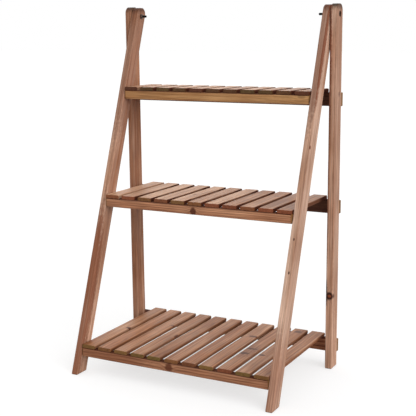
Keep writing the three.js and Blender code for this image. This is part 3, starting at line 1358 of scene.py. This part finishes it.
@dataclass
class RearFrame:
    """The two upright legs, with the bolts, nuts and washers that stay on them."""

    width: float = 600.0
    leg: tuple[float, float] = (38.0, 18.5)
    above_bolt: float = 24.5
    counterbore: tuple[float, float] = (13.6, 4.5)  # diameter and depth
    hole_radius: float = 3.4
    seat: float = 0.3
    edge: float = 2.2
    gap: float = 1.6  # between a rear leg and the front leg beside it
    washer: float = 1.0
    nut: float = 3.2

    def make(self) -> None:
        """Builds and dresses the frame."""
        bolt = joint_place("fold")
        for side, sign in SIDES.items():
            axis = bolt + Vector((sign * (self.width - self.leg[1]) / 2, 0, 0))
            outer = Vector((sign * self.width / 2, bolt.y, bolt.z))
            bore, depth = self.counterbore
            leg = Leg(
                node=f"rear_leg_{side}",
                body="rear_frame",
                slot="leg_wood",
                axes=leg_axes(axis, 0.0),
                size=Vector((bolt.z + self.above_bolt, *self.leg)),
                edge=self.edge,
                finish=LEG_WOOD,
                tone=self._tone(side),
                marks=self._marks(side),
                above_bolt=self.above_bolt,
                bolt_height=bolt.z,
                bores=(
                    (self.hole_radius, -2 * self.leg[1], 2 * self.leg[1], axis),
                    (bore / 2, -sign * depth, sign * depth, outer),
                ),
            )
            leg.make()
            self._fasten(side, sign, bolt)

    def _tone(self, side: str) -> Tone:
        """Says how a leg took the stain: the left one is darker."""
        light, sap = (0.95, 0.25) if side == "left" else (1.08, 0.52)
        return Tone(light, sap, end_light=0.42, end_reach=(2.0, 20.0))

    def _marks(self, side: str) -> tuple[Mark, ...]:
        """Gives a leg's marks: the right one has a knot right through, and dark heartwood with
        painted shade beside the front leg.
        """
        bore_shade_and_stain = Mark((0, 0, 9), (7.5, 7.5, 7), dark=0.9, bulge=0)  # stain round the bolt, and painted shade in its counterbore
        if side == "left":
            bore_shade_and_stain = replace(bore_shade_and_stain, place=(0, 0, -9))
            return bore_shade_and_stain, Mark((-450, -19, 0), (560, 24, 14), dark=0.28, red=0.4, bulge=0)
        return (
            bore_shade_and_stain,
            Mark((-699, -17, 0), (9, 14, 10), dark=1.0, bulge=7),
            Mark((-699, -17, 1), (3.5, 14, 4.5), dark=1.0, red=0.8, bulge=0),
            Mark((-692, -19, -9), (32, 9, 4), dark=0.9, bulge=0),
            # dark heartwood and painted shade down the front face's left edge, beside the front
            # leg
            Mark((-130, -19, -10), (230, 12, 5.5), dark=0.8, red=0.5, bulge=0),
            Mark((-450, -19, -10), (170, 12, 4), dark=0.6, red=0.5, bulge=0),
            Mark((-260, 2, 9.25), (480, 30, 5), dark=0.28, red=0.15, bulge=0),
            Mark((-192, 2, 9.25), (6.5, 3.5, 3), bulge=2),
        )

    def _fasten(self, side: str, sign: int, bolt: Vector) -> None:
        """Adds one side's bolt, nut and washers.

        Args:
            side: The side's name.
            sign: 1 at the right and -1 at the left.
            bolt: The bolt axis, in the middle of the stand.
        """
        outer = self.width / 2
        seat = outer - self.counterbore[1] + self.seat
        between = outer - self.leg[1] - self.gap / 2
        inner = outer - 2 * self.leg[1] - self.gap
        washer_x = inner - self.seat - self.washer / 2
        nut_x = washer_x - self.washer / 2 - self.seat - self.nut / 2

        def common(name: str, slot: str, x: float) -> tuple[str, str, str, Vector, int]:
            """Gives what every piece on the bolt is made from."""
            return f"{name}_{side}", "rear_frame", slot, Vector((sign * x, *bolt.yz)), sign

        pieces = (
            Bolt(*common("pivot_bolt", "black_steel", seat), BLACK_OXIDE_STEEL),
            Nut(
                *common("pivot_nut", "black_steel", nut_x),
                RUBBED_OXIDE_STEEL,
                height=self.nut,
            ),
            Washer(
                *common("nut_washer", "black_steel", washer_x),
                RUBBED_OXIDE_STEEL,
                thickness=self.washer,
            ),
            Washer(
                *common("spacer_washer", "zinc_steel", between),
                ZINC_PLATED_STEEL,
                diameter=22.0,
                thickness=1.0,
            ),
        )
        for piece in pieces:
            piece.make()


@dataclass
class FrontFrame:
    """The two slanted legs."""

    lean_degrees: float = 19.9
    leg: tuple[float, float] = (38.0, 18.5)
    centre_x: float = 270.65
    above_bolt: float = 22.5
    hole_radius: float = 3.4
    pin_radius: float = 3.3
    pin_depth: float = 12.3
    edge: float = 2.2

    def make(self) -> None:
        """Builds and dresses the frame."""
        bolt = joint_place("fold")
        lean = math.radians(self.lean_degrees)
        for side, sign in SIDES.items():
            axis = Vector((sign * self.centre_x, bolt.y, bolt.z))
            through = 2 * self.leg[1]
            bores = [(self.hole_radius, -through, through, axis)]
            face = self.centre_x - self.leg[1] / 2
            for name in SHELF_NAMES:
                mouth = joint_place(f"{name}_hinge")
                mouth.x = sign * face
                bores.append((self.pin_radius, -sign * 5.0, sign * self.pin_depth, mouth))
            leg = Leg(
                node=f"front_leg_{side}",
                body="front_frame",
                slot="leg_wood",
                axes=leg_axes(axis, lean),
                size=Vector((bolt.z / math.cos(lean), *self.leg)),
                edge=self.edge,
                finish=LEG_WOOD,
                tone=self._tone(side),
                marks=self._marks(side),
                above_bolt=self.above_bolt,
                bolt_height=bolt.z,
                lean=lean,
                bores=tuple(bores),
            )
            leg.make()

    def _tone(self, side: str) -> Tone:
        """Says how a leg took the stain: the right one is paler."""
        light, sap = (1.05, 0.48) if side == "left" else (1.09, 0.82)
        return Tone(light, sap, end_light=0.42, end_reach=(2.0, 20.0))

    def _marks(self, side: str) -> tuple[Mark, ...]:
        """Gives a leg's marks: patches of darker stain, and specks in the right leg."""
        if side == "left":
            return (
                Mark((-770, -19, 0), (230, 20, 14), dark=0.72, red=0.6, bulge=0),
                Mark((-60, 0, 4), (260, 60, 30), dark=0.5, red=0.3, bulge=0),
                Mark((-330, 0, 9.25), (330, 30, 4), dark=0.28, red=0.4, bulge=0),
            )
        return (
            Mark((-100, -19, 7), (130, 7, 3.5), dark=0.9, red=0.6, bulge=0),
            Mark((-90, -19, -2), (170, 14, 12), dark=0.6, red=0.4, bulge=0),
            Mark((-900, -19, 0), (120, 30, 14), dark=0.4, red=0.7, bulge=0),
            Mark((-450, 0, 9.25), (620, 30, 4), dark=0.22, red=0.4, bulge=0),
            Mark((-555, -19, 1.5), (3, 3, 1.8), bulge=0),
            Mark((-634, -19, 0.5), (3, 3, 1.8), bulge=0),
            Mark((-335, -19, 9), (4, 4, 2.5), bulge=0),
        )


@dataclass
class Shelf:
    """One shelf: its slats, its front rail and its deeper rear rail.

    Attributes:
        name: The shelf's name, which its body and its nodes start with.
        mean: The slats' mean tone.
        rail_finish: The front rail's wood.
        rail_tone: The front rail's tone.
        rear_tone: The rear rail's tone.
        slat_tones: Lightness and sapwood of slats that stand out, by number.
        slat_marks: Marks of slats that have them, by number.
        rail_marks: The front rail's marks.
        rear_marks: The rear rail's marks.
        narrowed: How much narrower some slats are at the left and right, in mm.
    """

    name: str
    mean: Tone
    rail_finish: StainedSoftwood
    rail_tone: Tone
    rear_tone: Tone
    slat_tones: dict[int, tuple[float, float]] = field(default_factory=dict)
    slat_marks: dict[int, tuple[Mark, ...]] = field(default_factory=dict)
    rail_marks: tuple[Mark, ...] = ()
    rear_marks: tuple[Mark, ...] = ()
    slats: int = 11
    slat_edge: float = 2.4
    rail_edge: float = 1.6
    slat_side: float = 0.8  # how much deeper stain and painted shade the sides between slats get
    # deeper stain and painted shade on the end slats' outer sides
    outer_shade_and_stain: float = 0.25
    sawn_edges: tuple[int, ...] = (2, 3)  # the slats' under edges, left sharp
    narrowed: dict[int, tuple[float, float]] = field(default_factory=dict)

    def make(self) -> None:
        """Builds and dresses the shelf."""
        rng = random.Random(f"{SEED} {self.name}")
        for number in range(1, self.slats + 1):
            node = f"{self.name}_slat_{number:02d}"
            axes, size = box_axes(node, "YXZ")
            at_left, at_right = self.narrowed.get(number, (0.0, 0.0))
            axes.translation.x += (at_left - at_right) / 2
            size.y -= at_left + at_right
            light, sap = self.slat_tones.get(number, (self.mean.light, self.mean.sap))
            tone = replace(
                self.mean,
                light=light * rng.uniform(0.94, 1.06),
                sap=sap + rng.uniform(-0.15, 0.15),
                olive=self.mean.olive + rng.uniform(-0.45, 0.45),
                end_light=self.mean.end_light * rng.uniform(0.8, 1.15),
                deep=(
                    self.outer_shade_and_stain if number == 1 else self.slat_side,
                    self.outer_shade_and_stain if number == self.slats else self.slat_side,
                ),
            )
            slat = Plank(
                node=node,
                body=self.name,
                slot="slat_wood",
                axes=axes,
                size=size,
                edge=self.slat_edge,
                finish=SLAT_WOOD,
                tone=tone,
                marks=self.slat_marks.get(number, ()),
                sawn_edges=self.sawn_edges,
            )
            slat.make()
        self._rails()
        for side in SIDES:
            pin = frame["nodes"][f"{self.name}_pin_{side}"]
            pin.data.materials.clear()
            pin.data.materials.append(DYES.steel(ZINC_PLATED_STEEL))
            log.info("%s: pin kept as it is", pin.name)

    def _rails(self) -> None:
        """Builds the front and rear rails."""
        pin = joint_place(f"{self.name}_hinge")
        node = f"{self.name}_front_rail"
        axes, size = box_axes(node, "XZY")
        front = Plank(
            node=node,
            body=self.name,
            slot="rail_wood",
            axes=axes,
            size=size,
            edge=self.rail_edge,
            finish=self.rail_finish,
            tone=self.rail_tone,
            marks=self.rail_marks,
            sawn_edges=(0,),
            pin_holes=tuple(
                Vector((sign * size.x / 2, pin.y, pin.z)) for sign in SIDES.values()
            ),
        )
        front.make()
        node = f"{self.name}_rear_rail"
        axes, size = box_axes(node, "XZY")
        rear = Plank(
            node=node,
            body=self.name,
            slot="rail_wood",
            axes=axes,
            size=size,
            edge=self.rail_edge,
            finish=RAIL_WOOD,
            tone=self.rear_tone,
            marks=self.rear_marks,
        )
        rear.make()


SHELF_NAMES = ("bottom_shelf", "middle_shelf", "top_shelf")


def shelves() -> list[Shelf]:
    """Lists the three shelves with what each one's boards look like."""
    shade_and_stain_under_slats = (0.85, 0.2)  # the stain pools on a rail's top, where the slats lie, and shade is painted there too
    # painted shade on a rear rail's front, under the shelf over it
    shaded = (Mark((40, 0, -9), (380, 40, 7), dark=0.8, bulge=0),)
    return [
        Shelf(
            "bottom_shelf",
            mean=Tone(0.84, 0.27, olive=0.4, end_light=0.8),
            slat_tones={2: (0.96, 0.33), 3: (0.96, 0.35), 5: (0.78, 0.2)},
            slat_side=0.4,
            sawn_edges=(),
            narrowed={
                3: (0.0, 0.8),
                4: (0.8, 0.0),
                5: (0.0, 1.0),
                6: (1.0, 0.8),
                7: (0.8, 0.0),
                8: (0.0, 0.7),
                9: (0.7, 0.4),
                10: (0.4, 0.0),
            },
            rail_finish=RAIL_WOOD,
            rail_tone=Tone(0.97, 0.36, deep=shade_and_stain_under_slats),
            rear_tone=Tone(1.2, 0.3, deep=shade_and_stain_under_slats),
            rail_marks=(
                Mark((-6, 0, -9), (9, 9, 6), dark=0.9, red=0.3),
                Mark((-220, 0, -9), (130, 30, 8), dark=0.3, red=0.4, bulge=0),
            ),
            slat_marks={
                1: (
                    Mark((-40, -18, 4), (5, 4, 4)),
                    Mark((-15, 16, 4), (5, 7, 5), dark=1.0),
                ),
                3: (Mark((54, 15, 4), (4, 6, 4), dark=0.7),),
                4: (Mark((-16, 19, 4), (9, 5, 4), dark=0.75),),
                8: (Mark((67, 9, 4), (5.5, 12, 4), dark=0.9),),
                9: (
                    Mark((-57, -7, 4), (7, 13, 4), dark=0.95),
                    Mark((-20, -3, 4), (5, 15, 4), dark=0.9),
                    Mark((-40, 0, 4), (45, 16, 6), dark=0.3, bulge=0),
                ),
                10: (
                    Mark((-51, -11, 4), (5, 10, 4), dark=0.9),
                    Mark((153, 0, 4), (6, 9, 4), dark=0.85),
                ),
            },
        ),
        Shelf(
            "middle_shelf",
            # paler than the bottom shelf: pale sapwood, and partly a painted sheen of the light
            # grazing this shelf
            mean=Tone(1.05, 0.85, olive=0.1, end_light=0.95),
            rail_finish=RAIL_WOOD,
            rail_tone=Tone(1.1, 0.52, deep=shade_and_stain_under_slats),
            # the rear rail is darker here: painted shade under the shelf
            rear_tone=Tone(0.8, 0.3, deep=shade_and_stain_under_slats),
            rear_marks=shaded,
            rail_marks=(Mark((-3, -3, -9), (7, 9, 6), dark=0.95, red=0.2),),
            slat_tones={
                4: (0.95, 0.7),
                6: (0.88, 0.5),
                8: (0.86, 0.5),
                9: (0.9, 0.5),
                10: (0.72, 0.4),
                11: (0.8, 0.5),
            },
            slat_marks={
                5: (Mark((-16, -4, 4), (4, 6, 4), dark=0.6),),
                6: (Mark((-58, -16, 4), (4, 6, 4), dark=0.7),),
                9: (Mark((50, 6, 4), (4, 7, 4), dark=0.7),),
            },
        ),
        Shelf(
            "top_shelf",
            # paler than the bottom shelf: pale sapwood, and partly a painted sheen of the light
            # grazing this shelf
            mean=Tone(0.92, 0.8, olive=0.25, end_light=0.37),
            rail_finish=OCHRE_RAIL_WOOD,
            rail_tone=Tone(1.07, 0.48, deep=shade_and_stain_under_slats),
            # the rear rail is darker here: painted shade under the shelf
            rear_tone=Tone(0.8, 0.3, deep=shade_and_stain_under_slats),
            rear_marks=shaded,
            slat_side=0.95,
            rail_marks=(
                Mark((-90, 0, -9), (240, 30, 8), dark=0.25, red=0.6, bulge=0),
                Mark((240, 7, -9), (9, 4, 4), dark=0.3),
            ),
        ),
    ]


# ---------------------------------------------------------------- the studio


@dataclass(frozen=True)
class Lamp:
    """A soft, distant light from one direction."""

    name: str
    azimuth: float  # where it shines from, as a view is named
    elevation: float
    strength: float
    softness: float  # its angle across, in degrees


@dataclass
class Studio:
    """A white floor, soft lights and the photograph's camera."""

    eye: Vector = field(default_factory=lambda: Vector((1.0976453, -2.0141228, 0.8568356)))
    yaw: float = 27.346486  # to the left of straight ahead, in degrees
    pitch: float = -11.244627
    roll: float = -0.376888
    focal_pixels: float = 934.0
    image_pixels: int = 416
    centre_pixels: tuple[float, float] = (221.94, 215.36)
    sensor: float = 36.0
    surround: float = 0.65
    floor_tint: str = "#A9A9A9"
    floor_glow: float = 0.66  # the part of the floor's whiteness that no shadow darkens
    lamps: tuple[Lamp, ...] = (
        Lamp("Right softbox", 66.0, 25.0, 1.9, 60.0),
        Lamp("Left rear softbox", 225.0, 18.0, 1.0, 90.0),
    )

    def make(self) -> None:
        """Builds the studio round the stand."""
        bpy.context.scene.view_settings.view_transform = "Standard"
        self._camera()
        self._floor()
        self._world()
        for lamp in self.lamps:
            self._lamp(lamp)

    def _camera(self) -> None:
        """Puts the camera where the photograph was taken from."""
        data = bpy.data.cameras.new("Camera")
        data.sensor_width = self.sensor
        data.lens = self.focal_pixels / self.image_pixels * self.sensor
        middle = self.image_pixels / 2
        data.shift_x = (middle - self.centre_pixels[0]) / self.image_pixels
        data.shift_y = (self.centre_pixels[1] - middle) / self.image_pixels
        yaw, pitch, roll = (math.radians(a) for a in (self.yaw, self.pitch, self.roll))
        ahead = Vector(
            (
                -math.sin(yaw) * math.cos(pitch),
                math.cos(yaw) * math.cos(pitch),
                math.sin(pitch),
            )
        )
        level = Vector((math.cos(yaw), math.sin(yaw), 0.0))
        upright = level.cross(ahead)
        right = math.cos(roll) * level + math.sin(roll) * upright
        up = math.cos(roll) * upright - math.sin(roll) * level
        camera = bpy.data.objects.new("Camera", data)
        camera.matrix_world = Matrix(
            (
                (right.x, up.x, -ahead.x, self.eye.x),
                (right.y, up.y, -ahead.y, self.eye.y),
                (right.z, up.z, -ahead.z, self.eye.z),
                (0, 0, 0, 1),
            )
        )
        bpy.context.scene.collection.objects.link(camera)
        bpy.context.scene.camera = camera

    def _seen(self, tree: bpy.types.NodeTree) -> Socket:
        """Gives one for rays that show the floor or the background, and nought for others."""
        path = add(tree, "ShaderNodeLightPath").outputs
        seen = sum_of(
            tree, "MAXIMUM", path["Is Camera Ray"], path["Is Glossy Ray"]
        )
        return sum_of(tree, "MAXIMUM", seen, path["Is Transmission Ray"])

    def _floor(self) -> None:
        """Lays a paper floor, which throws back little light and is seen as white."""
        size, below = 30.0, 0.0005
        corners = [(-size, -size), (size, -size), (size, size), (-size, size)]
        mesh = bpy.data.meshes.new("Floor")
        mesh.from_pydata([(x, y, -below) for x, y in corners], [], [(0, 1, 2, 3)])
        made = bpy.data.materials.new("White studio paper")
        made.use_nodes = True
        tree = made.node_tree
        tree.nodes.clear()
        matt = add(tree, "ShaderNodeBsdfDiffuse", {"Color": linear(self.floor_tint)})
        strength = sum_of(tree, "MULTIPLY", self._seen(tree), self.floor_glow)
        glow = add(tree, "ShaderNodeEmission", {"Color": (1, 1, 1, 1), "Strength": strength})
        both = add(tree, "ShaderNodeAddShader", {0: matt.outputs[0], 1: glow.outputs[0]})
        add(tree, "ShaderNodeOutputMaterial", {0: both.outputs[0]})
        mesh.materials.append(made)
        floor = bpy.data.objects.new("Floor", mesh)
        bpy.context.scene.collection.objects.link(floor)
        floor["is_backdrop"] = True

    def _world(self) -> None:
        """Makes a white background, and a dimmer even light from all round."""
        world = bpy.data.worlds.new("Studio")
        world.use_nodes = True
        tree = world.node_tree
        tree.nodes.clear()
        strength = add(
            tree,
            "ShaderNodeMapRange",
            {"Value": self._seen(tree), "To Min": self.surround, "To Max": 1.0},
        )
        light = add(
            tree, "ShaderNodeBackground", {"Color": (1, 1, 1, 1), "Strength": strength.outputs[0]}
        )
        add(tree, "ShaderNodeOutputWorld", {0: light.outputs[0]})
        bpy.context.scene.world = world

    def _lamp(self, lamp: Lamp) -> None:
        """Hangs one lamp."""
        data = bpy.data.lights.new(lamp.name, "SUN")
        data.energy = lamp.strength
        data.angle = math.radians(lamp.softness)
        around, above = math.radians(lamp.azimuth), math.radians(lamp.elevation)
        source = Vector(
            (
                math.sin(around) * math.cos(above),
                -math.cos(around) * math.cos(above),
                math.sin(above),
            )
        )
        light = bpy.data.objects.new(lamp.name, data)
        light.rotation_mode = "QUATERNION"
        light.rotation_quaternion = source.to_track_quat("Z", "Y")
        light.location = source * 3
        bpy.context.scene.collection.objects.link(light)


def write_sizes() -> None:
    """Puts the CAD model's box and the visual model's box, in metres, into plain lists, which are
    not kept.
    """
    boxes = {"cad": CAD_BOX, "visual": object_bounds()}
    plain = {name: [list(corner) for corner in box] for name, box in boxes.items()}


def main() -> None:
    """Builds the stand and its studio."""
    logging.basicConfig(level=logging.INFO, format="%(message)s")
    RearFrame().make()
    FrontFrame().make()
    for shelf in shelves():
        shelf.make()
    Studio().make()
    write_sizes()


if __name__ == "__main__":
    main()
